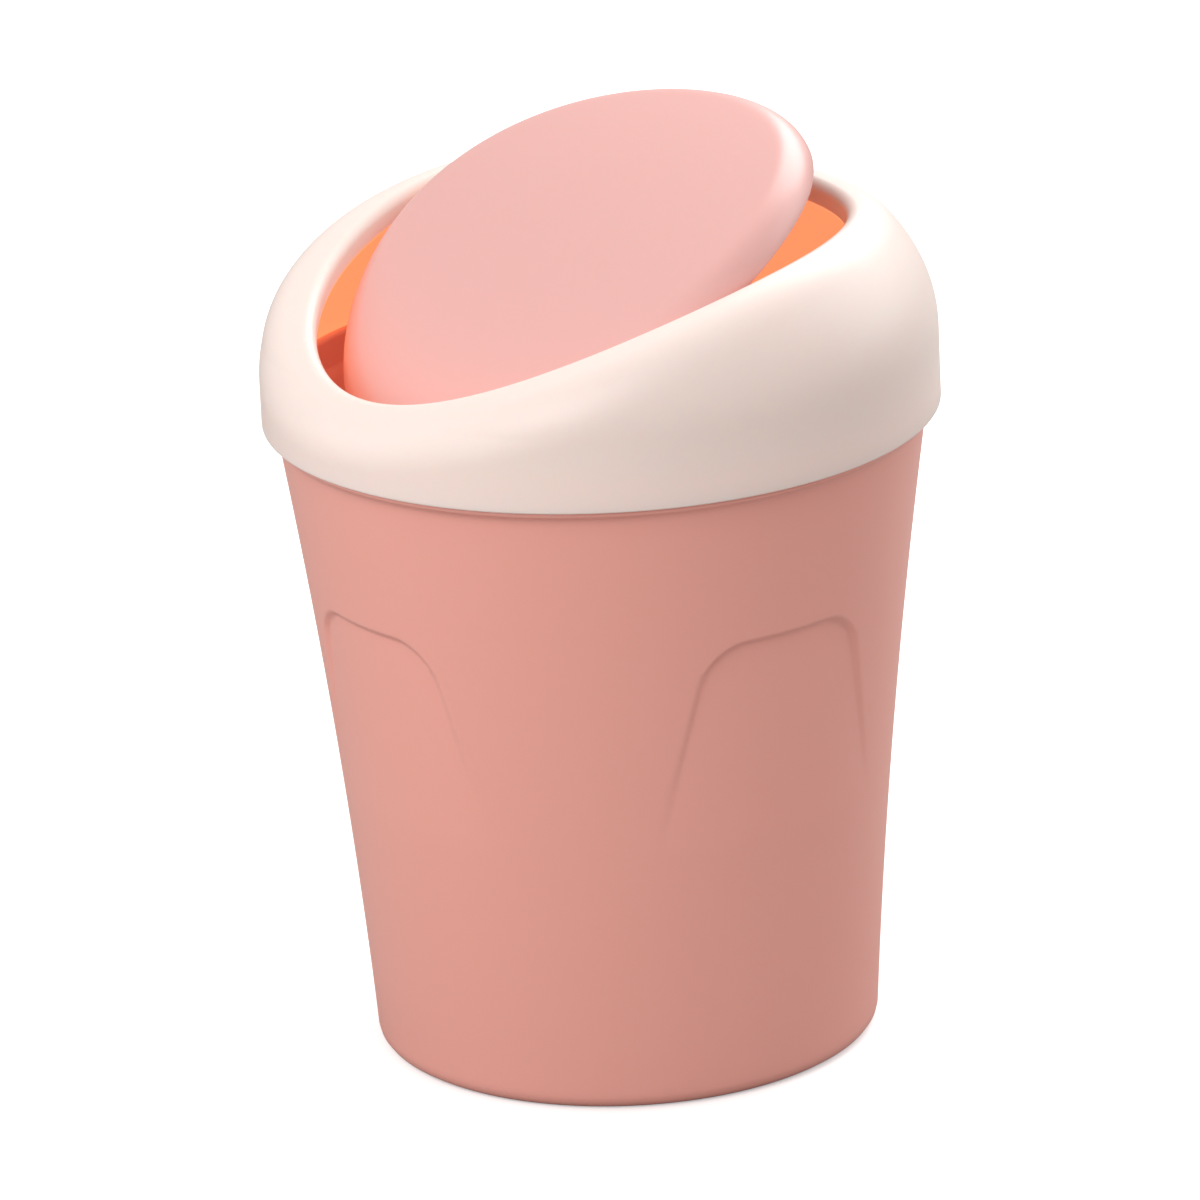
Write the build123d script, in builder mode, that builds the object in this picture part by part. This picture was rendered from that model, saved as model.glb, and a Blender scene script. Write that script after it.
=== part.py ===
from build123d import *
import os
from math import cos, radians, sin, sqrt

# A small round bin for a worktop: a tapered tub, a domed collar that lifts off it, and a
# flap that swings in the collar on two stub pins. Millimetres, +Z up, the origin in the
# middle of the foot. The low side of the collar is the front, at -Y, and the hinge of the
# flap runs along X, across the bin's own axis.

# Tub
base_radius = 50.2  # outer radius at the foot
seat_height = 131.0  # top of the ledge, where the collar sits
flare_radius = 1750.0  # the side is a very shallow hollow arc
tub_wall = 1.8
floor_thickness = 2.4
foot_edge_round = 2.6
foot_ring_width = 5.0
foot_recess = 1.4  # the floor stands this much clear of the worktop
inner_corner_round = 4.0
ledge_overhang = 1.9  # the ledge stands out this far over the side
ledge_thickness = 2.0
ledge_round = 0.7
neck_height = 6.6  # the neck stands this far up inside the collar
rim_round = 0.8

# Hand panels, pressed into the side of the tub
panel_count = 4  # at the front, the back and both sides
panel_drop = 32.5  # their top edge lies this far below the seat
panel_bottom = 56.0
panel_run_out = 0.25  # their floor comes out of the side above the bottom
panel_half_width = 17.6  # at the top
panel_spread = 0.2  # sideways growth for each millimetre down
panel_corner_round = 8.0
panel_depth = 1.1

# Collar
collar_radius = 68.1
collar_overhang = 1.2  # the collar stands out this far over the ledge
collar_wall = 2.0
collar_edge_round = 0.6
dome_width = 18.0  # how far the dome leans in
dome_rise = 50.0  # over this height
arch_rise = 39.7  # the top is cut to an arch, seen from the side: its crest over the seat
arch_front_rise = 10.0  # and its height over the seat above the front of the collar
arch_crest_back = 26.2  # the crest lies behind the axis
crown_round = 10.0  # between the dome and the arch
neck_clearance = 0.35

# Opening of the collar
rim_width = 14.7  # from the opening out to the widest line of the collar
opening_forward = 3.3  # its centre lies in front of the axis
lip_depth = 5.0  # below the arch
lip_wall = 1.8
lip_round = 2.1

# Hinge
hinge_rise = 25.5  # over the seat
rest_swing = 20.7  # degrees, the flap stands with its front edge down
pin_radius = 2.0
pin_clearance = 0.06  # radial
pin_tail = 0.8  # past the tab
shoulder_float = 0.3  # end play at each side
pin_shoulder_radius = 3.4
tab_thickness = 2.5
tab_round = 5.0
tab_drop = 1.0  # the tab starts this far below the rounding of the lip
lead_in_depth = 0.7  # groove that the pin rides up when the flap is pressed in
lead_in_clearance = 0.15

# Flap
flap_gap = 1.4  # between the flap and the opening
flap_wall = 1.8
flap_proud = 2.8  # the closed flap stands this much above the arch
flap_edge_round = 4.5
flap_depth = 6.6
ear_thickness = 2.0
ear_setback = 0.5  # the ear's face from the flap's widest line
ear_round = 4.4
ear_root = 1.4  # the ear runs this far up into the rounded edge

# The side of the tub: radius at a height above the worktop
ledge_radius = collar_radius - collar_overhang
shoulder_radius = ledge_radius - ledge_overhang
ledge_bottom = seat_height - ledge_thickness
side_chord = Vector(shoulder_radius - base_radius, ledge_bottom)
side_outward = Vector(side_chord.Y, -side_chord.X).normalized()
side_centre = (
    Vector(base_radius, 0)
    + side_chord * 0.5
    + side_outward * sqrt(flare_radius**2 - (side_chord.length / 2) ** 2)
)


def side_radius(height):
    """Outer radius of the flared side of the tub at a height."""
    return side_centre.X - sqrt(flare_radius**2 - (height - side_centre.Y) ** 2)


panel_top = seat_height - panel_drop


def panel_floor_radius(height):
    """Radius of the bottom of a hand panel, a plain cone that is steeper than the side."""
    start = side_radius(panel_bottom) + panel_run_out
    end = side_radius(panel_top) - panel_depth
    return start + (end - start) * (height - panel_bottom) / (panel_top - panel_bottom)


def side_profile(inset):
    """The side of the tub as a closed outline, from the axis out, moved in by inset."""
    middle = ledge_bottom / 2
    with BuildSketch(Plane.XZ) as profile:
        with BuildLine():
            Line((0, 0), (base_radius - inset, 0))
            ThreePointArc(
                (base_radius - inset, 0),
                (side_radius(middle) - inset, middle),
                (shoulder_radius - inset, ledge_bottom),
            )
            Polyline(
                (shoulder_radius - inset, ledge_bottom),
                (0, ledge_bottom),
                (0, 0),
            )
        make_face()
    return profile.sketch


def hand_panels(inset):
    """The space that the hand panels take from the side, grown by inset on every face."""
    reach = collar_radius
    highest = panel_top + 2 * inset
    with BuildPart() as panels:
        for index in range(panel_count):
            turn = radians(index * 360 / panel_count)
            outward = Vector(cos(turn), sin(turn), 0)
            across = Vector(-sin(turn), cos(turn), 0)
            with BuildSketch(Plane(origin=(0, 0, 0), x_dir=across, z_dir=outward)) as window:
                half_top = panel_half_width + inset
                half_bottom = half_top + panel_spread * (panel_top - panel_bottom)
                with BuildLine():
                    Polyline(
                        (-half_bottom, panel_bottom),
                        (half_bottom, panel_bottom),
                        (half_top, panel_top + inset),
                        (-half_top, panel_top + inset),
                        close=True,
                    )
                make_face()
                corners = window.vertices().group_by(Axis.Y)[-1]
                fillet(corners, panel_corner_round + inset)
            extrude(amount=reach)
        with BuildSketch(Plane.XZ):
            with BuildLine():
                Polyline(
                    (panel_floor_radius(panel_bottom) - inset, panel_bottom),
                    (reach, panel_bottom),
                    (reach, highest),
                    (panel_floor_radius(highest) - inset, highest),
                    close=True,
                )
            make_face()
        revolve(axis=Axis.Z, mode=Mode.INTERSECT)
    return panels.part


# The inside of the tub
neck_radius = collar_radius - collar_wall - neck_clearance
with BuildPart() as tub_cavity:
    add(side_profile(tub_wall))
    revolve(axis=Axis.Z)
    add(hand_panels(tub_wall), mode=Mode.SUBTRACT)
    split(bisect_by=Plane.XY.offset(floor_thickness + foot_recess), keep=Keep.TOP)
    fillet(tub_cavity.faces().sort_by(Axis.Z)[0].edges(), inner_corner_round)
    with BuildSketch(Plane.XY.offset(ledge_bottom)):
        Circle(shoulder_radius - tub_wall)
    with BuildSketch(Plane.XY.offset(seat_height)):
        Circle(neck_radius - tub_wall)
    loft()
    with BuildSketch(Plane.XY.offset(seat_height)):
        Circle(neck_radius - tub_wall)
    extrude(amount=neck_height)

# The tub: the flared side, the ledge and the neck, hollowed
with BuildPart() as tub:
    add(side_profile(0))
    revolve(axis=Axis.Z)
    fillet(tub.faces().sort_by(Axis.Z)[0].edges(), foot_edge_round)
    add(hand_panels(0), mode=Mode.SUBTRACT)
    with BuildSketch(Plane.XY.offset(ledge_bottom)):
        Circle(ledge_radius)
    extrude(amount=ledge_thickness)
    round_edges = tub.edges().filter_by(GeomType.CIRCLE)
    fillet(round_edges.filter_by(lambda edge: edge.radius == ledge_radius), ledge_round)
    with BuildSketch(Plane.XY.offset(seat_height)):
        Circle(neck_radius)
    extrude(amount=neck_height)
    add(tub_cavity.part, mode=Mode.SUBTRACT)
    rim_edges = tub.edges().group_by(Axis.Z)[-1]
    fillet(rim_edges, rim_round)
    with BuildSketch():
        Circle(base_radius - foot_edge_round - foot_ring_width)
    extrude(amount=foot_recess, mode=Mode.SUBTRACT)
tub.part.label = "tub"

# The arch that cuts the top of the collar, and the flap with it
arch_span = arch_crest_back + collar_radius  # from the crest to the front
arch_fall = arch_rise - arch_front_rise
arch_radius = (arch_span**2 + arch_fall**2) / (2 * arch_fall)
arch_centre = (arch_crest_back, seat_height + arch_rise - arch_radius)
arch_reach = arch_radius + 2 * collar_radius
opening_radius = collar_radius - rim_width
opening_centre = (0, -opening_forward)
hinge_height = seat_height + hinge_rise


def collar_form(inset):
    """The collar as a full block: the dome, cut to the arch and rounded, moved in by inset."""
    lean = dome_width - inset
    rise = dome_rise - inset
    crown_radius = collar_radius - dome_width
    with BuildPart() as form:
        with BuildSketch(Plane.XZ):
            with BuildLine():
                Line((0, seat_height), (crown_radius + lean, seat_height))
                EllipticalCenterArc((crown_radius, seat_height), lean, rise)
                Polyline(
                    (crown_radius, seat_height + rise),
                    (0, seat_height + rise),
                    (0, seat_height),
                )
            make_face()
        revolve(axis=Axis.Z)
        with BuildSketch(Plane.YZ):
            with Locations(arch_centre):
                Rectangle(2 * arch_reach, 2 * arch_reach)
                Circle(arch_radius - inset, mode=Mode.SUBTRACT)
        extrude(amount=2 * collar_radius, both=True, mode=Mode.SUBTRACT)
        fillet(form.faces().sort_by(Axis.Z)[-1].edges(), crown_round - inset)
    return form.part


# The hollow of the collar, with the turned-down lip left standing in it
with BuildPart() as lip:
    with BuildSketch(Plane.XY.offset(seat_height)):
        with Locations(opening_centre):
            Circle(opening_radius + lip_wall)
    extrude(amount=dome_rise)
    with BuildSketch(Plane.YZ):
        with Locations(arch_centre):
            Circle(arch_radius - lip_depth)
    extrude(amount=2 * collar_radius, both=True, mode=Mode.SUBTRACT)

with BuildPart() as collar_cavity:
    add(collar_form(collar_wall))
    add(lip.part, mode=Mode.SUBTRACT)

# The collar: domed shell, lip and the two hinge tabs below the lip
opening_half_width = sqrt(opening_radius**2 - opening_forward**2)  # along the hinge
arch_over_hinge = arch_centre[1] + sqrt(arch_radius**2 - arch_crest_back**2)
tab_inner_face = opening_half_width
tab_outer_face = tab_inner_face + tab_thickness
tab_top = arch_over_hinge - lip_round - tab_drop
bore_radius = pin_radius + pin_clearance
with BuildPart() as collar:
    add(collar_form(0))
    fillet(collar.faces().sort_by(Axis.Z)[0].edges(), collar_edge_round)
    with BuildSketch(Plane.XY.offset(seat_height)):
        with Locations(opening_centre):
            Circle(opening_radius)
    extrude(amount=dome_rise, mode=Mode.SUBTRACT)
    top_face = collar.faces().sort_by(Axis.Z)[-1]
    opening_edges = top_face.inner_wires()[0].edges()
    fillet(opening_edges, lip_round)
    add(collar_cavity.part, mode=Mode.SUBTRACT)
    for tab_start in (tab_inner_face, -tab_outer_face):
        with BuildSketch(Plane.YZ.offset(tab_start)):
            with Locations((0, hinge_height)):
                Circle(tab_round)
            with Locations((0, (hinge_height + tab_top) / 2)):
                Rectangle(2 * tab_round, tab_top - hinge_height)
        extrude(amount=tab_thickness)
    with BuildSketch(Plane.YZ):
        with Locations((0, hinge_height)):
            Circle(bore_radius)
    extrude(amount=tab_outer_face, both=True, mode=Mode.SUBTRACT)
    with BuildSketch(Plane.YZ):
        with Locations((0, hinge_height - tab_round / 2)):
            Rectangle(2 * (pin_radius + lead_in_clearance), tab_round)
    extrude(amount=tab_inner_face + lead_in_depth, both=True, mode=Mode.SUBTRACT)
collar.part.label = "collar"

# The flap is drawn closed on planes that turn with it about the hinge
hinge_plane = Plane(origin=(0, 0, hinge_height)).rotated((rest_swing, 0, 0))
swing_plane = Plane(origin=hinge_plane.origin, x_dir=hinge_plane.y_dir, z_dir=hinge_plane.x_dir)
flap_up = Axis(hinge_plane.origin, hinge_plane.z_dir)
flap_radius = opening_radius - flap_gap
flap_arch_radius = arch_radius + flap_proud
flap_arch_centre = (arch_centre[0], arch_centre[1] - hinge_height)


def flap_form(inset):
    """The flap as a full block with its rounded edge, moved in by inset."""
    span = 2 * collar_radius
    with BuildPart() as form:
        with BuildSketch(hinge_plane):
            with Locations(opening_centre):
                Circle(flap_radius - inset)
        extrude(amount=span, both=True)
        with BuildSketch(swing_plane):
            with Locations(flap_arch_centre):
                Rectangle(2 * arch_reach, 2 * arch_reach)
                Circle(flap_arch_radius - inset, mode=Mode.SUBTRACT)
        extrude(amount=span, both=True, mode=Mode.SUBTRACT)
        top_edges = form.faces().sort_by(flap_up)[-1].edges()
        fillet(top_edges, flap_edge_round - inset)
    return form.part


flap_half_width = sqrt(flap_radius**2 - opening_forward**2)  # along the hinge
ear_outer_face = flap_half_width - ear_setback
ear_inner_face = ear_outer_face - ear_thickness
ear_top = arch_over_hinge + flap_proud - hinge_height - flap_edge_round + ear_root
pin_shoulder_end = tab_inner_face - shoulder_float
pin_end = tab_outer_face + pin_tail
with BuildPart() as flap:
    add(flap_form(0))
    add(flap_form(flap_wall), mode=Mode.SUBTRACT)
    with BuildSketch(swing_plane):
        with Locations(flap_arch_centre):
            Circle(flap_arch_radius - flap_depth)
    extrude(amount=2 * collar_radius, both=True, mode=Mode.SUBTRACT)
    for ear_start in (ear_inner_face, -ear_outer_face):
        with BuildSketch(swing_plane.offset(ear_start)):
            Circle(ear_round)
            with Locations((0, ear_top / 2)):
                Rectangle(2 * ear_round, ear_top)
        extrude(amount=ear_thickness)
    for shoulder_start in (ear_outer_face, -pin_shoulder_end):
        with BuildSketch(swing_plane.offset(shoulder_start)):
            Circle(pin_shoulder_radius)
        extrude(amount=pin_shoulder_end - ear_outer_face)
    for pin_start in (pin_shoulder_end, -pin_end):
        with BuildSketch(swing_plane.offset(pin_start)):
            Circle(pin_radius)
        extrude(amount=pin_end - pin_shoulder_end)
flap.part.label = "flap"

os.makedirs("parts", exist_ok=True)
export_step(tub.part, "parts/tub.step")
export_step(collar.part, "parts/collar.step")
export_step(flap.part, "parts/flap.step")
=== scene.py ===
"""A small round worktop bin: tapered tub, domed collar and a flap that swings in its opening.

Lengths are in metres and angles in radians. The low side of the collar faces -Y and the
hinge of the flap runs along X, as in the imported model.
"""
import logging
import math
from dataclasses import dataclass
from enum import Enum

import bpy
import numpy as np
from mathutils import Matrix, Vector


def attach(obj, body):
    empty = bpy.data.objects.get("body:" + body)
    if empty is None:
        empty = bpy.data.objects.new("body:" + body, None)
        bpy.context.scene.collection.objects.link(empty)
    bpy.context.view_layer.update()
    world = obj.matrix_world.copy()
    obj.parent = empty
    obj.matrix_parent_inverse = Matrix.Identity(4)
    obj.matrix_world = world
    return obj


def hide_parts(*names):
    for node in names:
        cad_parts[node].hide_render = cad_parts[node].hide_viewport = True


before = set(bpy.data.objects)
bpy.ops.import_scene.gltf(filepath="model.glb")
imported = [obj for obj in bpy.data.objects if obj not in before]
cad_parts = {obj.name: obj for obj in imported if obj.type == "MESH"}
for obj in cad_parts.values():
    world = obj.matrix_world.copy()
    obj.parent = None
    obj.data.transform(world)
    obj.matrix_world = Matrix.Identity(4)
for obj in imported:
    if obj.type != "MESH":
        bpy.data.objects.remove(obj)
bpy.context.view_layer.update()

MM = 0.001
SMALLEST = 1e-6
SMALLEST_SQUARE = 1e-18
LOG = logging.getLogger("bin")


class Body(Enum):
    """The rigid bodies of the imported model."""

    TUB = "tub"
    COLLAR = "collar"
    FLAP = "flap"


# --- Shapes -----------------------------------------------------------------------------


def round_corner(first: np.ndarray, second: np.ndarray, cosine: np.ndarray,
                 radius: float) -> tuple[np.ndarray, np.ndarray, np.ndarray]:
    """Distance to the solid that two surfaces bound, with a rolled fillet where they meet.

    With A and B the distances to the two surfaces moved in by the radius, and c the cosine
    between their normals, the fillet's axis lies sqrt((A^2 + B^2 - 2ABc) / (1 - c^2)) away
    wherever that axis is the nearest thing; elsewhere the larger distance holds.

    Args:
        first: Signed distance to the first surface, negative inside.
        second: Signed distance to the second surface, negative inside.
        cosine: Cosine of the angle between the outward normals.
        radius: Fillet radius.

    Returns:
        Signed distance to the filleted solid, and the shares of the first and the second
        surface's normal in the solid's own normal.
    """
    a = first + radius
    b = second + radius
    spread = 1 - cosine**2
    from_axis = np.sqrt(np.maximum(a * a + b * b - 2 * a * b * cosine, SMALLEST_SQUARE) / spread)
    near_corner = (a > cosine * b) & (b > cosine * a)
    share_first = np.where(near_corner, (a - b * cosine) / (spread * from_axis), first > second)
    share_second = np.where(near_corner, (b - a * cosine) / (spread * from_axis), first <= second)
    away = np.where(near_corner, from_axis - radius, np.maximum(first, second))
    return away, share_first, share_second


def smooth_step(value: np.ndarray, low: float, high: float) -> np.ndarray:
    """0 below low, 1 above high, and the cubic 3t^2 - 2t^3 between them."""
    t = np.clip((value - low) / (high - low), 0, 1)
    return t * t * (3 - 2 * t)


def full_turn(columns: int) -> np.ndarray:
    """Evenly spaced angles once round, without the last, which is the first again."""
    return np.arange(columns) * (2 * math.pi / columns)


def rounded_path(corners: list[tuple[float, float]], radii: list[float], spacing: float) -> np.ndarray:
    """A path of straight runs in the (radius, height) plane with a round at each corner.

    Each corner with a radius r and a turn of t becomes an arc that starts and ends
    r tan(t / 2) away from it.

    Args:
        corners: The corner points, from one end of the path to the other.
        radii: One radius for each corner; the two ends and sharp corners have 0.
        spacing: Largest distance between two points of the result.

    Returns:
        The points as an array of (radius, height) rows.
    """
    points = [np.array(corners[0])]
    for here, radius, before, after in zip(corners[1:-1], radii[1:-1], corners, corners[2:]):
        here = np.array(here)
        back = (np.array(before) - here) / np.linalg.norm(np.array(before) - here)
        ahead = (np.array(after) - here) / np.linalg.norm(np.array(after) - here)
        half = math.acos(np.clip(back @ ahead, -1, 1)) / 2
        if radius == 0:
            points.append(here)
            continue
        middle = (back + ahead) / np.linalg.norm(back + ahead)
        centre = here + middle * radius / math.sin(half)
        start = here + back * radius / math.tan(half) - centre
        end = here + ahead * radius / math.tan(half) - centre
        swing = math.pi - 2 * half
        share = np.linspace(0, 1, max(4, int(radius * swing / spacing) + 2))[:, None]
        arc = centre + (np.sin((1 - share) * swing) * start + np.sin(share * swing) * end) / math.sin(swing)
        points.extend(arc)
    points.append(np.array(corners[-1]))
    return subdivided(np.array(points), spacing)


def subdivided(path: np.ndarray, spacing: float) -> np.ndarray:
    """The same path with points added on runs that are longer than the spacing."""
    runs = np.linalg.norm(np.diff(path, axis=0), axis=1)
    pieces = np.maximum(1, np.ceil(runs / spacing - SMALLEST)).astype(int)
    starts = np.repeat(np.arange(len(runs)), pieces)
    steps = np.concatenate([np.arange(n) / n for n in pieces])[:, None]
    inner = path[starts] + (path[starts + 1] - path[starts]) * steps
    return np.vstack([inner, path[-1:]])


def turned(points: np.ndarray, angle: float, height: float) -> np.ndarray:
    """Points turned about the line along X at that height, the front going down."""
    y = points[..., 1]
    z = points[..., 2] - height
    cosine, sine = math.cos(angle), math.sin(angle)
    return np.stack(
        [points[..., 0], y * cosine - z * sine, y * sine + z * cosine + height], axis=-1
    )


def tongue(radius: float, top: float, columns: int) -> np.ndarray:
    """Outline of a plate that is round below the hinge and straight-sided above it.

    At the angle a the outline is radius away from the hinge where sin a <= 0, and elsewhere
    the smaller of radius / |cos a| and top / sin a.

    Args:
        radius: Radius of the round end, and half the width of the plate.
        top: Height of the plate above the hinge.
        columns: Number of points.

    Returns:
        Distances from the hinge at even angles.
    """
    turn = full_turn(columns)
    return np.where(
        np.sin(turn) <= 0, radius,
        np.minimum(radius / np.maximum(np.abs(np.cos(turn)), SMALLEST),
                   top / np.maximum(np.sin(turn), SMALLEST)))


def outward(azimuth: float, elevation: float) -> Vector:
    """The direction from the bin at an azimuth, 0 at the collar's low front, and an elevation."""
    return Vector((math.sin(azimuth) * math.cos(elevation),
                   -math.cos(azimuth) * math.cos(elevation), math.sin(elevation)))


# --- Meshes -----------------------------------------------------------------------------


def mesh_piece(name: str, grid: np.ndarray, body: Body, finishes: list[bpy.types.Material],
               poles: bool = False, row_finish: np.ndarray | None = None) -> bpy.types.Object:
    """Makes a closed mesh from a grid of rows that each run once round.

    Column c of each row joins column c + 1, and the last joins the first. Rows join the next
    row, and the last row joins the first, unless the grid ends in poles: then its first and
    last rows are each a single point.

    Args:
        name: Name of the piece.
        grid: Array of (rows, columns, 3) points.
        body: Body that the piece rides on.
        finishes: Materials of the piece.
        poles: Whether the first and last rows are points.
        row_finish: For each band between two rows, the index of its material.

    Returns:
        The new object, riding on its body.
    """
    rows, columns = grid.shape[:2]
    column = np.arange(columns)
    beside = (column + 1) % columns
    if poles:
        points = np.vstack([grid[0, :1], grid[1:-1].reshape(-1, 3), grid[-1, :1]])
        index = 1 + np.arange(rows - 2)[:, None] * columns
        low, high = index[:-1], index[1:]
        last = len(points) - 1
        first_fan = np.stack([np.zeros(columns, int), 1 + beside, 1 + column], axis=-1)
        last_fan = np.stack([np.full(columns, last), index[-1] + column, index[-1] + beside], axis=-1)
        fans = [first_fan, last_fan]
    else:
        points = grid.reshape(-1, 3)
        index = np.arange(rows)[:, None] * columns
        low, high = index, np.roll(index, -1, axis=0)
        fans = []
    quads = np.stack([low + column, low + beside, high + beside, high + column], axis=-1).reshape(-1, 4)
    corners = np.concatenate([part.ravel() for part in (*fans, quads)])
    totals = np.concatenate([*(np.full(len(fan), 3) for fan in fans), np.full(len(quads), 4)]).astype(int)
    starts = np.concatenate([[0], np.cumsum(totals)[:-1]])
    volume = np.einsum("ij,ij->i", points[quads[:, 0]],
                       np.cross(points[quads[:, 1]] - points[quads[:, 3]],
                                points[quads[:, 2]] - points[quads[:, 0]])).sum()
    mesh = bpy.data.meshes.new(name)
    mesh.vertices.add(len(points))
    mesh.vertices.foreach_set("co", points.ravel())
    mesh.loops.add(len(corners))
    mesh.loops.foreach_set("vertex_index", corners)
    mesh.polygons.add(len(totals))
    mesh.polygons.foreach_set("loop_start", starts)
    if row_finish is not None:
        band = np.repeat(row_finish, columns)
        mesh.polygons.foreach_set("material_index", band)
    mesh.update(calc_edges=True)
    if volume < 0:
        mesh.flip_normals()
    mesh.shade_smooth()
    for finish in finishes:
        mesh.materials.append(finish)
    piece = bpy.data.objects.new(name, mesh)
    bpy.context.scene.collection.objects.link(piece)
    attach(piece, body.value)
    LOG.info("%s: %d faces on %s", name, len(totals), body.value)
    return piece


# --- Finishes ---------------------------------------------------------------------------


def linear(colour: tuple[float, float, float]) -> tuple[float, float, float, float]:
    """A display colour of 0 to 255 in each channel as linear light."""
    share = np.array(colour) / 255
    value = np.where(share <= 0.04045, share / 12.92, ((share + 0.055) / 1.055) ** 2.4)
    return (*value.tolist(), 1.0)


def moulding_group() -> bpy.types.NodeTree:
    """The look that all the mouldings share: slow colour drift, haze and a faint sink ripple.

    Returns:
        A group that puts out the colour, the roughness and a height for a bump.
    """
    group = bpy.data.node_groups.new("moulded_skin", "ShaderNodeTree")
    face = group.interface
    for name, kind, value in (
        ("Colour", "NodeSocketColor", (0.8, 0.8, 0.8, 1)),
        ("Drift Colour", "NodeSocketColor", (0.8, 0.8, 0.8, 1)),
        ("Drift", "NodeSocketFloat", 0.3),
        ("Drift Scale", "NodeSocketFloat", 20.0),
        ("Roughness", "NodeSocketFloat", 0.35),
        ("Haze", "NodeSocketFloat", 0.08),
        ("Grain Scale", "NodeSocketFloat", 1500.0),
    ):
        face.new_socket(name, in_out="INPUT", socket_type=kind).default_value = value
    for name, kind in (("Colour", "NodeSocketColor"), ("Roughness", "NodeSocketFloat"),
                       ("Height", "NodeSocketFloat")):
        face.new_socket(name, in_out="OUTPUT", socket_type=kind)
    nodes, link = group.nodes, group.links.new
    given = nodes.new("NodeGroupInput")
    result = nodes.new("NodeGroupOutput")
    where = nodes.new("ShaderNodeTexCoord")
    drift = nodes.new("ShaderNodeTexNoise")
    drift.inputs["Detail"].default_value = 2.0
    link(where.outputs["Object"], drift.inputs["Vector"])
    link(given.outputs["Drift Scale"], drift.inputs["Scale"])
    amount = nodes.new("ShaderNodeMath")
    amount.operation = "MULTIPLY"
    link(drift.outputs["Fac"], amount.inputs[0])
    link(given.outputs["Drift"], amount.inputs[1])
    colour = nodes.new("ShaderNodeMix")
    colour.data_type = "RGBA"
    link(amount.outputs[0], colour.inputs["Factor"])
    link(given.outputs["Colour"], colour.inputs[6])
    link(given.outputs["Drift Colour"], colour.inputs[7])
    link(colour.outputs[2], result.inputs["Colour"])
    haze = nodes.new("ShaderNodeMath")
    haze.operation = "MULTIPLY_ADD"
    link(drift.outputs["Fac"], haze.inputs[0])
    link(given.outputs["Haze"], haze.inputs[1])
    link(given.outputs["Roughness"], haze.inputs[2])
    link(haze.outputs[0], result.inputs["Roughness"])
    grain = nodes.new("ShaderNodeTexNoise")
    grain.inputs["Detail"].default_value = 3.0
    link(where.outputs["Object"], grain.inputs["Vector"])
    link(given.outputs["Grain Scale"], grain.inputs["Scale"])
    link(grain.outputs["Fac"], result.inputs["Height"])
    return group


@dataclass(frozen=True)
class Moulding:
    """The finish of an injection-moulded polypropylene piece, which may carry a painted glow.

    Args:
        name: Name of the material.
        colour: Display colour, 0 to 255.
        drift_colour: Display colour that it drifts to.
        roughness: Surface roughness.
        drift: Largest share of the colour that it drifts to.
        glow: Share of the light that scatters below the surface.
        glow_depth: How far that light goes.
        grain: Height of the fine grain.
        grain_strength: How much of the grain shows.
        refraction: Index of refraction.
        glow_tint: How far red, green and blue scatter, as shares of glow_depth.
        painted_glow: Display colour of a painted glow. It is an emission that stands in for the light that
            comes through the wall from outside, though the piece is no lamp.
    """

    name: str
    colour: tuple[float, float, float]
    drift_colour: tuple[float, float, float]
    roughness: float = 0.34
    drift: float = 0.35
    glow: float = 0.12
    glow_depth: float = 2.5 * MM
    grain: float = 0.01 * MM
    grain_strength: float = 0.25
    refraction: float = 1.46
    glow_tint: tuple[float, float, float] = (1.0, 0.6, 0.45)
    painted_glow: tuple[float, float, float] = (0, 0, 0)

    def material(self, skin: bpy.types.NodeTree) -> bpy.types.Material:
        """Builds the material around the shared skin group.

        Args:
            skin: The group that moulding_group made.

        Returns:
            The material.
        """
        made = bpy.data.materials.new(self.name)
        made.use_nodes = True
        nodes, link = made.node_tree.nodes, made.node_tree.links.new
        shader = nodes["Principled BSDF"]
        look = nodes.new("ShaderNodeGroup")
        look.node_tree = skin
        look.inputs["Colour"].default_value = linear(self.colour)
        look.inputs["Drift Colour"].default_value = linear(self.drift_colour)
        look.inputs["Drift"].default_value = self.drift
        look.inputs["Roughness"].default_value = self.roughness
        link(look.outputs["Colour"], shader.inputs["Base Color"])
        link(look.outputs["Roughness"], shader.inputs["Roughness"])
        bump = nodes.new("ShaderNodeBump")
        bump.inputs["Strength"].default_value = self.grain_strength
        bump.inputs["Distance"].default_value = self.grain
        link(look.outputs["Height"], bump.inputs["Height"])
        link(bump.outputs["Normal"], shader.inputs["Normal"])
        shader.inputs["IOR"].default_value = self.refraction
        shader.inputs["Subsurface Weight"].default_value = self.glow
        shader.inputs["Subsurface Scale"].default_value = self.glow_depth
        shader.inputs["Subsurface Radius"].default_value = self.glow_tint
        # Painted glow: this emission stands in for light that comes through the thin wall. It is painted
        # light, not a lamp.
        shader.inputs["Emission Color"].default_value = linear(self.painted_glow)
        shader.inputs["Emission Strength"].default_value = 1.0 if any(self.painted_glow) else 0.0
        return made


# --- Tub --------------------------------------------------------------------------------


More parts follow.
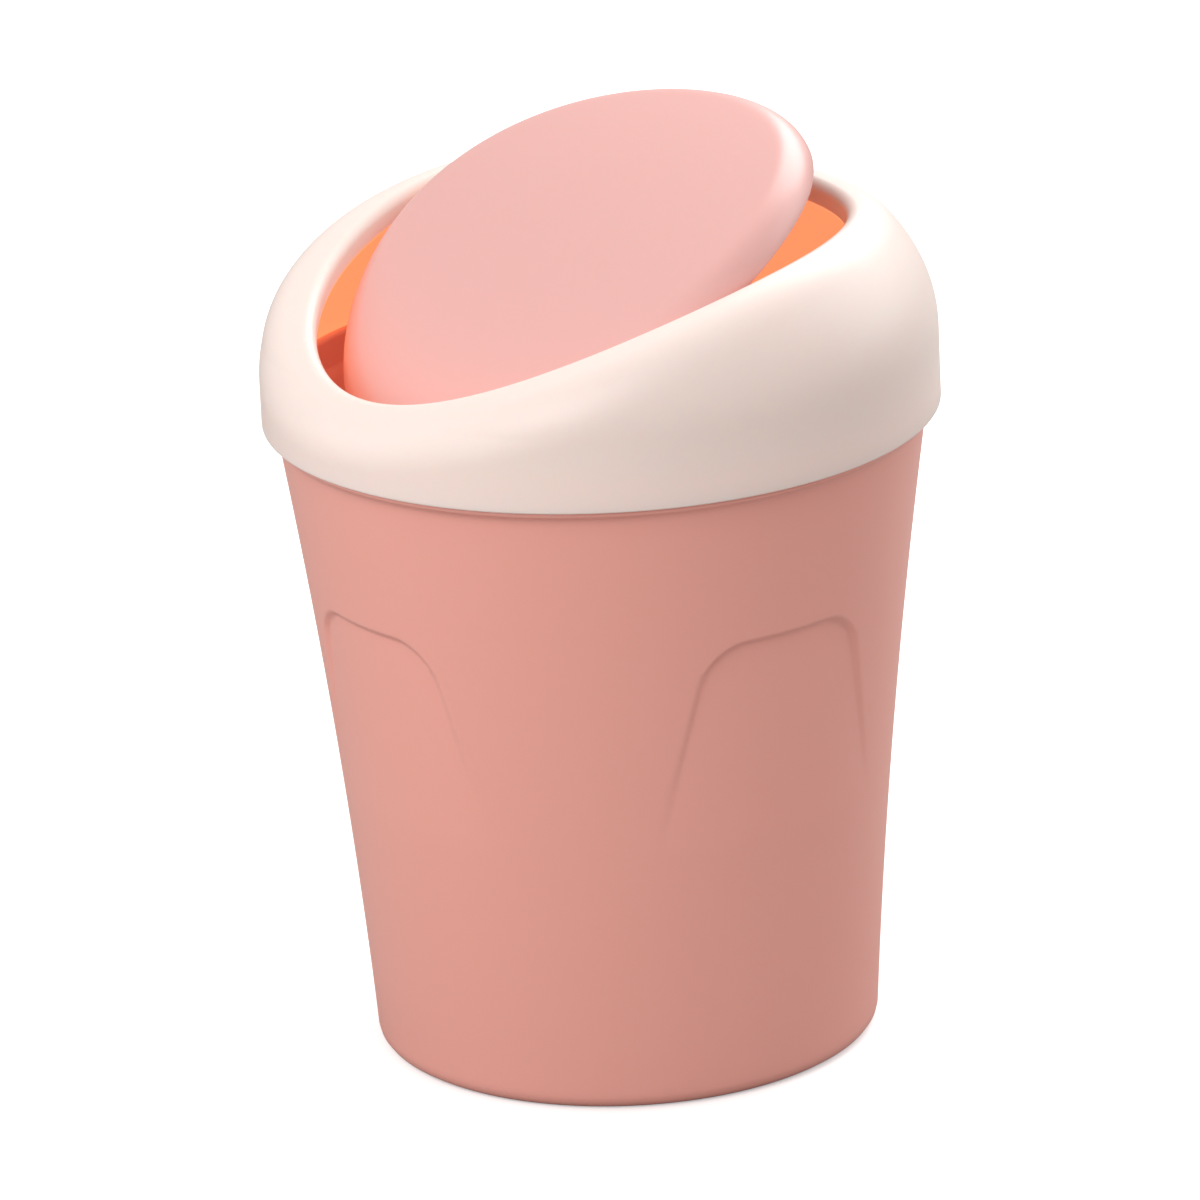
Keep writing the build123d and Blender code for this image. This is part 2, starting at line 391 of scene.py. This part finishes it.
@dataclass
class Tub:
    """The tapered tub with its ledge, neck and four hand panels."""

    base_radius: float = 50.7 * MM
    shoulder_radius: float = 64.8 * MM
    seat_height: float = 131.0 * MM
    flare_radius: float = 1500.0 * MM
    wall: float = 1.8 * MM
    floor_top: float = 3.8 * MM
    foot_recess: float = 1.4 * MM
    foot_ring: float = 5.0 * MM
    foot_round: float = 3.0 * MM
    foot_height: float = 8.0 * MM
    ring_round: float = 0.3 * MM
    inner_round: float = 4.0 * MM
    inner_margin: float = 2.0 * MM
    inner_shoulder_round: float = 1.0 * MM
    ledge_radius: float = 66.5 * MM
    ledge_thickness: float = 2.0 * MM
    ledge_round: float = 0.7 * MM
    ledge_slant: float = 0.9 * MM
    ledge_slant_round: float = 0.6 * MM
    ledge_cove: float = 2.0 * MM
    neck_radius: float = 65.4 * MM
    neck_height: float = 6.6 * MM
    neck_root_round: float = 0.2 * MM
    rim_round: float = 0.8 * MM
    panel_top: float = 98.5 * MM
    panel_bottom: float = 56.0 * MM
    panel_half_width: float = 17.6 * MM
    panel_spread: float = 0.2
    panel_corner: float = 8.0 * MM
    panel_depth: float = 1.1 * MM
    panel_edge: float = 1.5 * MM
    fine_below: float = 5.0 * MM
    fine_above: float = 3.0 * MM
    fine_spacing: float = 0.35 * MM
    fine_margin: float = 0.5 * MM
    cove_margin: float = 0.2 * MM
    floor_lead: float = 1.0 * MM
    foot_spacing: float = 1.2 * MM
    ledge_spacing: float = 0.6 * MM
    floor_spacing: float = 2.0 * MM
    side_rows: int = 96
    inner_rows: int = 62
    columns: int = 512
    crowding: float = 2.5
    crowded_turn: float = math.radians(19.5)
    crowded_spread: float = math.radians(4.5)

    def side(self, height: np.ndarray) -> np.ndarray:
        """Outer radius of the side at a height: an arc through the foot and the shoulder."""
        ledge_bottom = self.seat_height - self.ledge_thickness
        run = np.array([self.shoulder_radius - self.base_radius, ledge_bottom])
        outward = np.array([run[1], -run[0]]) / np.linalg.norm(run)
        rise = math.sqrt(self.flare_radius**2 - run @ run / 4)
        centre = np.array([self.base_radius, 0]) + run / 2 + outward * rise
        return centre[0] - np.sqrt(self.flare_radius**2 - (height - centre[1]) ** 2)

    def panel_depth_at(self, turn: np.ndarray, height: np.ndarray) -> np.ndarray:
        """How far the hand panels press the side in.

        A panel is a window with rounded upper corners and sides that spread downwards; its
        floor sinks evenly from the bottom to the top, and its edge is a smooth step.

        Args:
            turn: Angles round the tub.
            height: Heights above the worktop.

        Returns:
            The depth, 0 outside the panels.
        """
        quarter = math.pi / 2
        off_centre = (turn + quarter / 2) % quarter - quarter / 2
        across = np.abs(self.side(height) * np.sin(off_centre))
        half = self.panel_half_width + self.panel_spread * (self.panel_top - height)
        side_gap = across - half + self.panel_corner
        top_gap = height - self.panel_top + self.panel_corner
        outside = np.hypot(np.maximum(side_gap, 0), np.maximum(top_gap, 0))
        gap = outside + np.minimum(np.maximum(side_gap, top_gap), 0) - self.panel_corner
        climb = np.clip((height - self.panel_bottom) / (self.panel_top - self.panel_bottom), 0, 1)
        return self.panel_depth * climb * smooth_step(-gap, -self.panel_edge / 2, self.panel_edge / 2)

    def turns(self) -> np.ndarray:
        """Column angles, closer together at the upright edges of the panels."""
        even = full_turn(4 * self.columns)
        quarter = math.pi / 2
        off_centre = np.abs((even + quarter / 2) % quarter - quarter / 2)
        from_edge = (off_centre - self.crowded_turn) / self.crowded_spread
        density = 1 + self.crowding * np.exp(-(from_edge ** 2))
        total = np.concatenate([[0], np.cumsum(density)])
        share = np.arange(self.columns) * total[-1] / self.columns
        return np.interp(share, total, np.append(even, 2 * math.pi))

    def profile(self) -> tuple[np.ndarray, np.ndarray]:
        """The wall's section from the middle of the underside round to the middle of the floor.

        Returns:
            The (radius, height) points, and for each whether it lies on the flared side.
        """
        ledge_bottom = self.seat_height - self.ledge_thickness
        rim = self.seat_height + self.neck_height
        ring = self.base_radius - self.foot_round - self.foot_ring
        foot = rounded_path(
            [(0, self.foot_recess), (ring, self.foot_recess), (ring, 0), (self.base_radius, 0),
             (self.side(self.foot_height), self.foot_height)],
            [0, self.ring_round, self.ring_round, self.foot_round, 0], self.foot_spacing)
        fine = np.arange(self.panel_top - self.fine_below, self.panel_top + self.fine_above,
                         self.fine_spacing)
        cove_start = ledge_bottom - self.ledge_cove
        coarse = np.linspace(self.foot_height, cove_start - self.cove_margin, self.side_rows)
        clear = (coarse < fine[0] - self.fine_margin) | (coarse > fine[-1] + self.fine_margin)
        heights = np.sort(np.concatenate([fine, coarse[clear]]))[1:]
        outer = np.stack([self.side(heights), heights], axis=-1)
        top = rounded_path(
            [(self.side(cove_start), cove_start), (self.shoulder_radius, ledge_bottom),
             (self.ledge_radius, ledge_bottom + self.ledge_slant),
             (self.ledge_radius, self.seat_height), (self.neck_radius, self.seat_height),
             (self.neck_radius, rim), (self.neck_radius - self.wall, rim),
             (self.neck_radius - self.wall, self.seat_height),
             (self.shoulder_radius - self.wall, ledge_bottom)],
            [0, self.ledge_cove, self.ledge_slant_round, self.ledge_round, self.neck_root_round,
             self.rim_round, self.rim_round, self.inner_shoulder_round, 0],
            self.ledge_spacing)
        low = self.floor_top + 2 * self.inner_round
        inner_heights = np.linspace(ledge_bottom - self.inner_margin, low, self.inner_rows)
        inner = np.stack([self.side(inner_heights) - self.wall, inner_heights], axis=-1)
        floor = rounded_path(
            [(self.side(low - self.floor_lead) - self.wall, low - self.floor_lead),
             (self.side(self.floor_top) - self.wall, self.floor_top), (0, self.floor_top)],
            [0, self.inner_round, 0], self.floor_spacing)
        section = np.vstack([foot, outer, top, inner, floor])
        on_side = np.zeros(len(section), bool)
        on_side[len(foot):len(foot) + len(outer)] = True
        start = len(foot) + len(outer) + len(top)
        on_side[start:start + len(inner)] = True
        return section, on_side

    def build(self, finish: bpy.types.Material) -> bpy.types.Object:
        """Turns the section about the axis and presses the panels in.

        Args:
            finish: The tub's material.

        Returns:
            The tub.
        """
        section, on_side = self.profile()
        turn = self.turns()[None, :]
        radius, height = section[:, :1], section[:, 1:]
        radius = radius - np.where(on_side[:, None], self.panel_depth_at(turn, height), 0)
        grid = np.stack([radius * np.cos(turn), radius * np.sin(turn), height + 0 * turn], axis=-1)
        piece = mesh_piece("tub_moulding", grid, Body.TUB, [finish], poles=True)
        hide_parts("tub")
        return piece


# --- Collar -----------------------------------------------------------------------------


@dataclass
class Collar:
    """The domed collar: its top is cut to an arch, with a round opening and a turned-in lip."""

    seat_height: float = 131.0 * MM
    radius: float = 67.8 * MM
    wall: float = 2.0 * MM
    edge_round: float = 0.4 * MM
    skirt_height: float = 14.8 * MM
    dome_width: float = 56.0 * MM
    dome_rise: float = 39.3 * MM
    arch_rise: float = 39.7 * MM
    arch_front_rise: float = 10.0 * MM
    crest_back: float = 26.2 * MM
    crown_round: float = 12.0 * MM
    opening_width: float = 51.4 * MM
    opening_length: float = 53.9 * MM
    opening_forward: float = 3.4 * MM
    lip_depth: float = 5.0 * MM
    lip_wall: float = 1.8 * MM
    lip_round: float = 2.1 * MM
    inner_round: float = 0.6 * MM
    core_gap: float = 4.2 * MM
    core_drop: float = 6.0 * MM
    hinge_height: float = 156.5 * MM
    tab_round: float = 5.0 * MM
    tab_thickness: float = 2.5 * MM
    tab_drop: float = 1.0 * MM
    tab_ease: float = 0.3 * MM
    tab_columns: int = 96
    bore_radius: float = 2.06 * MM
    columns: int = 440
    outer_rows: tuple[int, int] = (84, 44)
    inner_rows: tuple[int, int] = (40, 22)
    edge_rows: int = 5
    lip_rows: int = 9
    halvings: int = 26

    @property
    def arch_radius(self) -> float:
        """Radius of the arch through its crest and its height over the collar's front."""
        span = self.crest_back + self.radius
        fall = self.arch_rise - self.arch_front_rise
        return (span**2 + fall**2) / (2 * fall)

    def at_hinge(self, gap: float) -> float:
        """Half the width of the opening over the hinge, less a gap all round."""
        forward = self.opening_forward / (self.opening_length - gap)
        return (self.opening_width - gap) * math.sqrt(1 - forward**2)

    def arch(self, y: np.ndarray) -> np.ndarray:
        """Height of the arch: a circle in the YZ plane about its centre below the crest."""
        reach = self.arch_radius
        return self.seat_height + self.arch_rise - reach + np.sqrt(reach**2 - (y - self.crest_back) ** 2)

    def distance(self, point: np.ndarray, inset: float, rim: float) -> np.ndarray:
        """Signed distance to the collar as a full block with its opening bored through.

        The block is an upright skirt with a quarter ellipse above it, turned about the axis
        and cut by the arch, filleted where they meet. The opening is an oval cylinder, moved
        out by lip_wall as far as the block is moved in by wall, and filleted at its edge.

        Args:
            point: Array of points.
            inset: How far the dome and the arch are moved in.
            rim: Fillet radius at the edge of the opening.

        Returns:
            The distances, negative inside.
        """
        x, y, z = point[..., 0], point[..., 1], point[..., 2]
        reach = np.hypot(x, y)
        lean, rise = self.dome_width - inset, self.dome_rise - inset
        u = (reach - self.radius + self.dome_width) / lean
        v = np.maximum(z - self.seat_height - self.skirt_height, 0) / rise
        size = np.hypot(u, v)
        slope = np.hypot(u / lean, v / rise)
        dome = (size - 1) * size / slope
        dome_out, dome_up = u / lean / slope, v / rise / slope
        centre_z = self.seat_height + self.arch_rise - self.arch_radius
        from_centre = np.hypot(y - self.crest_back, z - centre_z)
        arch = from_centre - self.arch_radius + inset
        arch_y, arch_z = (y - self.crest_back) / from_centre, (z - centre_z) / from_centre
        cosine = dome_out * y / reach * arch_y + dome_up * arch_z
        block, dome_share, arch_share = round_corner(dome, arch, cosine, self.crown_round - inset)
        grown = inset * self.lip_wall / self.wall
        across, along = self.opening_width + grown, self.opening_length + grown
        p, q = x / across, (y + self.opening_forward) / along
        oval = np.hypot(p, q)
        steep = np.hypot(p / across, q / along)
        in_x, in_y = -p / across / steep, -q / along / steep
        toward = dome_share * dome_out * (x * in_x + y * in_y) / reach + arch_share * arch_y * in_y
        return round_corner(block, (1 - oval) * oval / steep, toward, rim)[0]

    def surface(self, start: np.ndarray, direction: np.ndarray, inset: float, rim: float) -> np.ndarray:
        """Where rays from inside the block leave it, found by halving the interval.

        Args:
            start: First point of each ray, inside the block.
            direction: Direction of each ray.
            inset: As for distance.
            rim: As for distance.

        Returns:
            The points on the surface.
        """
        near = np.zeros(np.broadcast_shapes(start.shape, direction.shape)[:-1])
        far = near + self.radius / 2
        for _ in range(self.halvings):
            middle = (near + far) / 2
            inside = self.distance(start + direction * middle[..., None], inset, rim) < 0
            near = np.where(inside, middle, near)
            far = np.where(inside, far, middle)
        return start + direction * near[..., None]

    def shell(self, inset: float, rim: float, crown_rows: int, side_rows: int) -> np.ndarray:
        """One skin of the collar, from the bottom edge of the lip over the crown to the seat.

        For each column a core point lies inside the moulding's outline. Rays fan out from it
        in the upright plane of the column, and below the fan the side is found by rays
        straight outwards at even heights.

        Args:
            inset: How far the skin lies inside the outside of the collar.
            rim: Fillet radius between the crown and the opening.
            crown_rows: Rows of the fan.
            side_rows: Rows of the side.

        Returns:
            A grid of (rows, columns, 3) points.
        """
        turn = full_turn(self.columns)
        out = np.stack([np.cos(turn), np.sin(turn), 0 * turn], axis=-1)
        grown = inset * self.lip_wall / self.wall
        oval = np.stack([self.opening_width * np.cos(turn), self.opening_length * np.sin(turn)
                         - self.opening_forward, 0 * turn], axis=-1)
        core = oval + out * self.core_gap
        level = self.arch(core[:, 1])
        ahead = self.arch((core + out * MM)[:, 1]) - level
        lean = out + np.array([0, 0, 1]) * (ahead / MM)[:, None]
        lean /= np.linalg.norm(lean, axis=1)[:, None]
        core[:, 2] = level - self.core_drop
        last = math.pi + math.atan2(self.lip_depth - self.core_drop, self.core_gap - grown)
        fan = np.linspace(last, 0, crown_rows)[:, None, None]
        direction = lean * np.cos(fan) + np.array([0, 0, 1]) * np.sin(fan)
        direction /= np.linalg.norm(direction, axis=-1)[..., None]
        crown = self.surface(core, direction, inset, rim)
        crown[0, :, 2] = self.arch(crown[0, :, 1]) - self.lip_depth
        share = np.linspace(0, 1, side_rows + 1)[1:, None]
        begin = np.broadcast_to(core, (side_rows, self.columns, 3)).copy()
        begin[..., 2] = crown[-1, :, 2] * (1 - share) + self.seat_height * share
        side = self.surface(begin, np.broadcast_to(out, begin.shape), inset, rim)
        return np.concatenate([crown, side])

    def build(self, outside: bpy.types.Material, inside: bpy.types.Material) -> bpy.types.Object:
        """Joins the outer and the inner skin at the lip and at the seat.

        Args:
            outside: Material of the outside.
            inside: Material of the inside. It is painted orange with a painted glow that stands in for
                bounce light and light through the wall.

        Returns:
            The collar.
        """
        outer = self.shell(0, self.lip_round, *self.outer_rows)
        inner = self.shell(self.wall, self.inner_round, *self.inner_rows)
        arc = np.linspace(0, math.pi / 2, self.edge_rows)[:, None]
        foot = outer[-1]
        plan = foot[:, :2] / np.linalg.norm(foot[:, :2], axis=1)[:, None]
        bottom_radius = self.radius - self.edge_round * (1 - np.cos(arc))
        level = self.seat_height + self.edge_round * (1 - np.sin(arc))
        bottom = np.concatenate(
            [plan[None] * bottom_radius[..., None],
             np.broadcast_to(level, (self.edge_rows, self.columns))[..., None]],
            axis=-1)
        outer = outer[:-1]
        outer = outer[np.min(outer[..., 2], axis=1) > self.seat_height + self.edge_round]
        back, front = inner[0], outer[0]
        half = (back - front) / 2
        swing = np.linspace(0, math.pi, self.lip_rows)[1:-1, None, None]
        depth = np.linalg.norm(half, axis=1)[:, None] * np.array([0, 0, -1])
        lip = (back + front) / 2 + half * np.cos(swing) + depth * np.sin(swing)
        grid = np.concatenate([outer, bottom, inner[::-1], lip])
        bands = np.zeros(len(grid), int)
        # The inner skin and the lip take the inside material, painted orange for bounce light and light
        # through the wall.
        bands[len(outer) + len(bottom):] = 1
        piece = mesh_piece("collar_moulding", grid, Body.COLLAR, [outside, inside], row_finish=bands)
        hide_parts("collar")
        return piece

    def tab(self, side: int, finish: bpy.types.Material) -> bpy.types.Object:
        """A hinge tab below the lip, with the hole for the flap's pin.

        Args:
            side: 1 for the tab at +X, -1 for the one at -X.
            finish: The tab's material.

        Returns:
            The tab.
        """
        top = self.arch(np.zeros(1))[0] - self.lip_round - self.tab_drop - self.hinge_height
        turn = full_turn(self.tab_columns)
        outline = tongue(self.tab_round, top, self.tab_columns)
        start = self.at_hinge(0)
        end = start + self.tab_thickness
        ease = self.tab_ease
        stations = [(1, start + ease), (1, end - ease), (1 - ease / self.tab_round, end), (0, end),
                    (0, start), (1 - ease / self.tab_round, start)]
        rows = []
        for share, x in stations:
            radius = self.bore_radius + (outline - self.bore_radius) * share
            rows.append(np.stack([0 * turn + side * x, radius * np.cos(turn),
                                  self.hinge_height + radius * np.sin(turn)], axis=-1))
        name = "hinge_tab_right" if side > 0 else "hinge_tab_left"
        return mesh_piece(name, np.array(rows), Body.COLLAR, [finish])


# --- Flap -------------------------------------------------------------------------------


@dataclass
class Flap:
    """The arched swing flap, drawn closed and then turned to the angle it rests at."""

    collar: Collar
    swing: float = math.radians(20.7)
    gap: float = 1.2 * MM
    wall: float = 1.8 * MM
    proud: float = 2.8 * MM
    edge_round: float = 6.0 * MM
    depth: float = 6.6 * MM
    lip_round: float = 0.5 * MM
    ear_thickness: float = 2.0 * MM
    ear_setback: float = 0.5 * MM
    ear_round: float = 4.4 * MM
    ear_ease: float = 0.35 * MM
    ear_overlap: float = 1.4 * MM
    pin_radius: float = 2.0 * MM
    pin_tail: float = 0.8 * MM
    pin_ease: float = 0.3 * MM
    pin_overlap: float = 0.1 * MM
    shoulder_radius: float = 3.4 * MM
    shoulder_ease: float = 0.15 * MM
    shoulder_float: float = 0.3 * MM
    columns: int = 320
    ear_columns: int = 128
    pin_columns: int = 64
    face_rows: int = 34
    bend_rows: int = 15
    skirt_rows: int = 5
    lip_rows: int = 9
    ease_rows: int = 5

    def top(self, y: np.ndarray, drop: float) -> np.ndarray:
        """Height of the flap's top, an arch about the collar's arch centre, less a drop."""
        reach = self.collar.arch_radius + self.proud - drop
        centre = self.collar.seat_height + self.collar.arch_rise - self.collar.arch_radius
        return centre + np.sqrt(reach**2 - (y - self.collar.crest_back) ** 2)

    def sheet(self, drop: float, skirt: float) -> np.ndarray:
        """One skin of the flap from the middle out, round the edge and down the skirt.

        Inside the edge, ovals that grow to the edge's own follow the arch; past the start of
        the fillet the skin also falls by fillet (1 - cos a) while it reaches fillet sin a out.

        Args:
            drop: How far the skin lies inside the top and the edge.
            skirt: How far below the top its lower edge ends.

        Returns:
            A grid of (rows, columns, 3) points.
        """
        turn = full_turn(self.columns)[None, :]
        fillet = self.edge_round - drop
        start = self.gap + self.edge_round
        share = np.linspace(0, 1, self.face_rows)
        bend = np.linspace(0, math.pi / 2, self.bend_rows)[1:]
        below = np.linspace(fillet, skirt - drop, self.skirt_rows)[1:]
        flat = np.zeros(self.face_rows)
        share = np.concatenate([share, 0 * bend + 1, 0 * below + 1])[:, None]
        past = np.concatenate([flat, fillet * np.sin(bend), 0 * below + fillet])[:, None]
        fall = np.concatenate([flat, fillet * (1 - np.cos(bend)), below])[:, None]
        x = (share * (self.collar.opening_width - start) + past) * np.cos(turn)
        y = (share * (self.collar.opening_length - start) + past) * np.sin(turn)
        y = y - self.collar.opening_forward
        return np.stack([x, y, self.top(y, drop) - fall], axis=-1)

    def build(self, finish: bpy.types.Material) -> bpy.types.Object:
        """Joins the top skin and the underside at the lower edge of the skirt.

        Args:
            finish: The flap's material.

        Returns:
            The flap.
        """
        upper = self.sheet(0, self.depth - self.lip_round)
        lower = self.sheet(self.wall, self.depth - self.lip_round)
        front, back = upper[-1], lower[-1]
        half = (front - back) / 2
        swing = np.linspace(0, math.pi, self.lip_rows)[1:-1, None, None]
        down = np.array([0, 0, -self.lip_round])
        lip = (back + front) / 2 + half * np.cos(swing) + down * np.sin(swing)
        grid = np.concatenate([upper, lip, lower[::-1]])
        grid = turned(grid, self.swing, self.collar.hinge_height)
        piece = mesh_piece("flap_moulding", grid, Body.FLAP, [finish], poles=True)
        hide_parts("flap")
        return piece

    def plate(self, name: str, side: int, outline: np.ndarray, start: float, end: float, ease: float,
              finish: bpy.types.Material) -> bpy.types.Object:
        """A plate or pin across the hinge: an outline about the hinge carried along X.

        Args:
            name: Name of the piece.
            side: 1 for +X, -1 for -X.
            outline: Distance of the outline from the hinge at even angles.
            start: Where it starts, away from the middle.
            end: Where it ends.
            ease: Size of its rounded edges.
            finish: Material.

        Returns:
            The piece.
        """
        turn = full_turn(len(outline))
        bend = np.linspace(0, math.pi / 2, self.ease_rows)
        x = np.concatenate([[start], start + ease * (1 - np.sin(bend[::-1])),
                            end - ease * (1 - np.sin(bend)), [end]])
        inset = np.concatenate([[1], ease * (1 - np.cos(bend[::-1])), ease * (1 - np.cos(bend)), [1]])
        radius = np.maximum(outline[None, :] - inset[:, None], 0)
        grid = np.stack([side * x[:, None] + 0 * radius, radius * np.cos(turn),
                         self.collar.hinge_height + radius * np.sin(turn)], axis=-1)
        grid[0, :, 1:] = grid[-1, :, 1:] = (0, self.collar.hinge_height)
        grid = turned(grid, self.swing, self.collar.hinge_height)
        return mesh_piece(name, grid, Body.FLAP, [finish], poles=True)

    def build_hinges(self, finish: bpy.types.Material) -> None:
        """Makes the ears below the flap and the stub pins that stand out of them.

        Args:
            finish: The flap's material.
        """
        collar = self.collar
        ear_outer = collar.at_hinge(self.gap) - self.ear_setback
        tab_inner = collar.at_hinge(0)
        tab_outer = tab_inner + collar.tab_thickness
        top = self.top(np.zeros(1), self.edge_round)[0] - collar.hinge_height + self.ear_overlap
        ear = tongue(self.ear_round, top, self.ear_columns)
        circle = np.ones(self.pin_columns)
        for side, word in ((1, "right"), (-1, "left")):
            self.plate(f"flap_ear_{word}", side, ear, ear_outer - self.ear_thickness, ear_outer,
                       self.ear_ease, finish)
            self.plate(f"flap_pin_shoulder_{word}", side, circle * self.shoulder_radius,
                       ear_outer - self.pin_overlap, tab_inner - self.shoulder_float,
                       self.shoulder_ease, finish)
            self.plate(f"flap_pin_{word}", side, circle * self.pin_radius,
                       ear_outer - self.pin_overlap, tab_outer + self.pin_tail,
                       self.pin_ease, finish)


# --- Studio -----------------------------------------------------------------------------


@dataclass
class Studio:
    """The pale floor, the soft lights and the camera.

    frame_pixels is the width of the whole frame; target_right and target_down say, in those
    pixels, how far the point that the camera looks at lies off the middle of the frame.
    floor_to_bin is the floor's colour as the bin sees it, floor_seen as the camera does, and
    floor_lift is light added to what the camera sees of it, which leaves the shadow soft.
    """

    distance: float = 1982.5 * MM
    azimuth: float = math.radians(54.7)
    elevation: float = math.radians(19.388)
    roll: float = math.radians(2.585)
    target_height: float = 80.0 * MM
    pixels_per_metre: float = 4971.5
    frame_pixels: float = 1200.0
    target_right: float = 12.11
    target_down: float = 46.56
    sensor_width: float = 36.0
    lamp_distance: float = 0.9
    lamp_size: float = 0.6
    sky: tuple[float, float, float, float] = (1, 0.99, 0.98, 1)
    sky_strength: float = 0.53
    floor_size: float = 8.0
    floor_to_bin: tuple[float, float, float, float] = (0.35, 0.34, 0.33, 1)
    floor_seen: tuple[float, float, float, float] = (0.9, 0.9, 0.9, 1)
    floor_lift: tuple[float, float, float, float] = (0.38, 0.38, 0.38, 1)

    def camera(self) -> None:
        """Puts the camera at the photograph's angle, distance and framing."""
        lens = bpy.data.cameras.new("camera")
        lens.sensor_width = self.sensor_width
        lens.lens = self.pixels_per_metre * self.distance * self.sensor_width / self.frame_pixels
        lens.shift_x = -self.target_right / self.frame_pixels
        lens.shift_y = self.target_down / self.frame_pixels
        lens.clip_start, lens.clip_end = 0.1, 20
        out = outward(self.azimuth, self.elevation)
        right = Vector((0, 0, 1)).cross(out).normalized()
        up = out.cross(right)
        cosine, sine = math.cos(self.roll), math.sin(self.roll)
        right, up = right * cosine - up * sine, right * sine + up * cosine
        camera = bpy.data.objects.new("camera", lens)
        rotation = Matrix((right, up, out)).transposed().to_4x4()
        place = Vector((0, 0, self.target_height)) + out * self.distance
        camera.matrix_world = Matrix.Translation(place) @ rotation
        bpy.context.scene.collection.objects.link(camera)
        bpy.context.scene.camera = camera

    def floor(self) -> None:
        """A wide pale floor."""
        bpy.ops.mesh.primitive_plane_add(size=self.floor_size)
        plane = bpy.context.object
        plane.name = "floor"
        pale = bpy.data.materials.new("floor_white")
        pale.use_nodes = True
        nodes, link = pale.node_tree.nodes, pale.node_tree.links.new
        shader = nodes["Principled BSDF"]
        shader.inputs["Roughness"].default_value = 0.9
        shader.inputs["Specular IOR Level"].default_value = 0.1
        path = nodes.new("ShaderNodeLightPath")
        colour = nodes.new("ShaderNodeMix")
        colour.data_type = "RGBA"
        colour.inputs[6].default_value = self.floor_to_bin
        colour.inputs[7].default_value = self.floor_seen
        link(path.outputs["Is Camera Ray"], colour.inputs["Factor"])
        link(colour.outputs[2], shader.inputs["Base Color"])
        link(path.outputs["Is Camera Ray"], shader.inputs["Emission Strength"])
        shader.inputs["Emission Color"].default_value = self.floor_lift
        plane.data.materials.append(pale)

    def lamp(self, name: str, turn: float, lift: float, power: float) -> None:
        """A square white area lamp that looks at the bin.

        Args:
            name: Name of the lamp.
            turn: Azimuth as seen from the bin, in degrees from the camera's own azimuth.
            lift: Elevation in degrees.
            power: Power in watts.
        """
        out = outward(math.radians(turn) + self.azimuth, math.radians(lift))
        light = bpy.data.lights.new(name, "AREA")
        light.size, light.energy = self.lamp_size, power
        lamp = bpy.data.objects.new(name, light)
        lamp.location = Vector((0, 0, self.target_height)) + out * self.lamp_distance
        lamp.rotation_mode = "QUATERNION"
        lamp.rotation_quaternion = out.to_track_quat("Z", "Y")
        bpy.context.scene.collection.objects.link(lamp)

    def lights(self) -> None:
        """Soft lamps and a pale world that shows white to the camera."""
        self.lamp("side", -90, 30, 1.4)
        self.lamp("key", -30, 35, 3.4)
        self.lamp("rim", 110, 25, 2.0)
        self.lamp("back", 150, 40, 5.6)
        world = bpy.data.worlds.new("studio")
        bpy.context.scene.world = world
        world.use_nodes = True
        nodes, link = world.node_tree.nodes, world.node_tree.links.new
        plain = nodes["Background"]
        plain.inputs["Color"].default_value = self.sky
        plain.inputs["Strength"].default_value = self.sky_strength
        seen = nodes.new("ShaderNodeBackground")
        seen.inputs["Strength"].default_value = 1.0
        path = nodes.new("ShaderNodeLightPath")
        mix = nodes.new("ShaderNodeMixShader")
        link(path.outputs["Is Camera Ray"], mix.inputs["Fac"])
        link(plain.outputs[0], mix.inputs[1])
        link(seen.outputs[0], mix.inputs[2])
        link(mix.outputs[0], nodes["World Output"].inputs["Surface"])

    def build(self) -> None:
        """Makes the whole studio."""
        self.camera()
        self.floor()
        self.lights()
        settings = bpy.context.scene.view_settings
        settings.view_transform = "Standard"


def main() -> None:
    """Builds the studio and then the bin, piece by piece."""
    logging.basicConfig(level=logging.INFO, format="%(name)s: %(message)s")
    Studio().build()
    skin = moulding_group()
    pink = Moulding("tub_pink", (252, 179, 166), (249, 170, 156)).material(skin)
    cream = Moulding("collar_cream", (250, 232, 224), (246, 227, 218),
                     glow=0.3, glow_depth=4 * MM).material(skin)
    # Painted light: the collar's inner faces and the hinge tabs are cream like the rest of the moulding,
    # but here they are painted orange with a painted glow. This stands in for pink bounce light from the
    # tub and light through the cream wall.
    painted_inside = Moulding("collar_inside_painted_light", (250, 178, 110), (246, 168, 100),
                    glow=0.3, glow_depth=4 * MM, painted_glow=(192, 138, 98)).material(skin)
    blush = Moulding("flap_pink", (236, 182, 176), (232, 175, 168), roughness=0.3).material(skin)
    Tub().build(pink)
    collar = Collar()
    collar.build(cream, painted_inside)
    for side in (1, -1):
        collar.tab(side, painted_inside)
    flap = Flap(collar)
    flap.build(blush)
    flap.build_hinges(blush)


if __name__ == "__main__":
    main()
